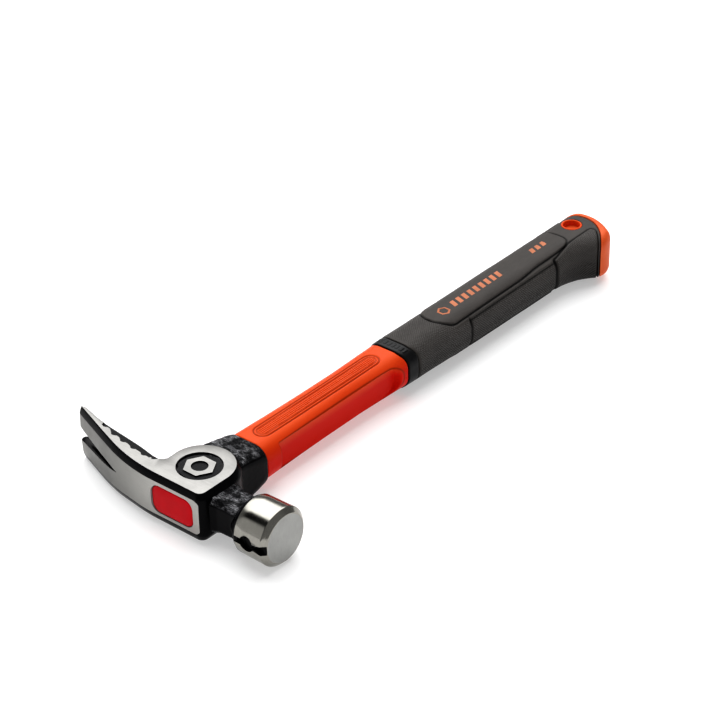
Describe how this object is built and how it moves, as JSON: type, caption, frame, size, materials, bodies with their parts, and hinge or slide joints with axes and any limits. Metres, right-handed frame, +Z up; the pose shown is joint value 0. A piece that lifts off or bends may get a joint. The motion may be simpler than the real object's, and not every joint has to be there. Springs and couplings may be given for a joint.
{
  "type": "claw hammer",
  "caption": "Rip-claw hammer with polished forged steel head, round striking poll, orange handle jacket and black rubber grip with a hang hole in the butt.",
  "frame": {"origin": "centre of the underside of the whole hammer's box, as it lies on its cheek", "axes": "+X towards the striking face, +Y along the handle towards the butt, +Z up through the cheeks"},
  "size_m": [0.1406, 0.3415, 0.0311],
  "materials": {
    "forged_steel": "ground bright on the poll, claw top and cheeks, with black paint on the forged neck and socket",
    "nickel_plate": "nickel plated",
    "red_plastic": "satin moulded red",
    "cast_resin": "cast amber resin",
    "glass_fibre": "pultruded glass fibre",
    "orange_plastic": "satin moulded orange",
    "black_plastic": "smooth satin black",
    "black_rubber": "soft black, finely textured on its sides and smooth along its spine"
  },
  "bodies": {
    "root": {"head": "forged_steel", "nail_magnet": "nickel_plate", "eye_plug": "red_plastic", "eye_epoxy": "cast_resin", "fibreglass_core": "glass_fibre", "handle_jacket": "orange_plastic", "grip_collar": "black_plastic", "rubber_grip": "black_rubber"}
  },
  "joints": []
}
